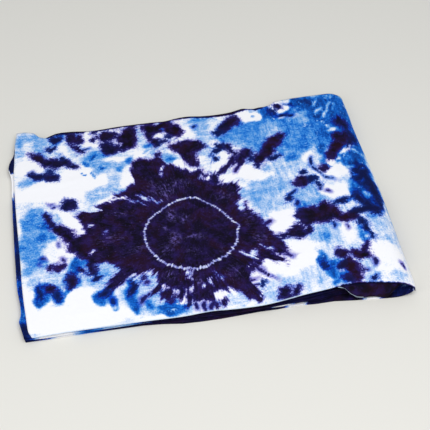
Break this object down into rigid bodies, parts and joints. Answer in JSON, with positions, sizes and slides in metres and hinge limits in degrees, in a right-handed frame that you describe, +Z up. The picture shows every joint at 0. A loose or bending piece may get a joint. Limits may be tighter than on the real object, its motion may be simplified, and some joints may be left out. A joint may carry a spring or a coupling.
{
  "type": "folded adire cloth",
  "caption": "Folded length of indigo resist-dyed cotton lying flat, wrapped round a fat right side, with a pale ring in a dark starburst on its top lap.",
  "frame": {"origin": "middle of the underside, on the surface that the cloth lies on", "axes": "+X runs to the right along the pack to its fat wrapped side, +Y to its back, +Z up"},
  "size_m": [0.5982, 0.4454, 0.0322],
  "materials": {
    "dyed_cotton": "plain-woven cotton, matt, resist-dyed in indigo and purple-black"
  },
  "bodies": {
    "root": {"cloth": "dyed_cotton"}
  },
  "joints": []
}
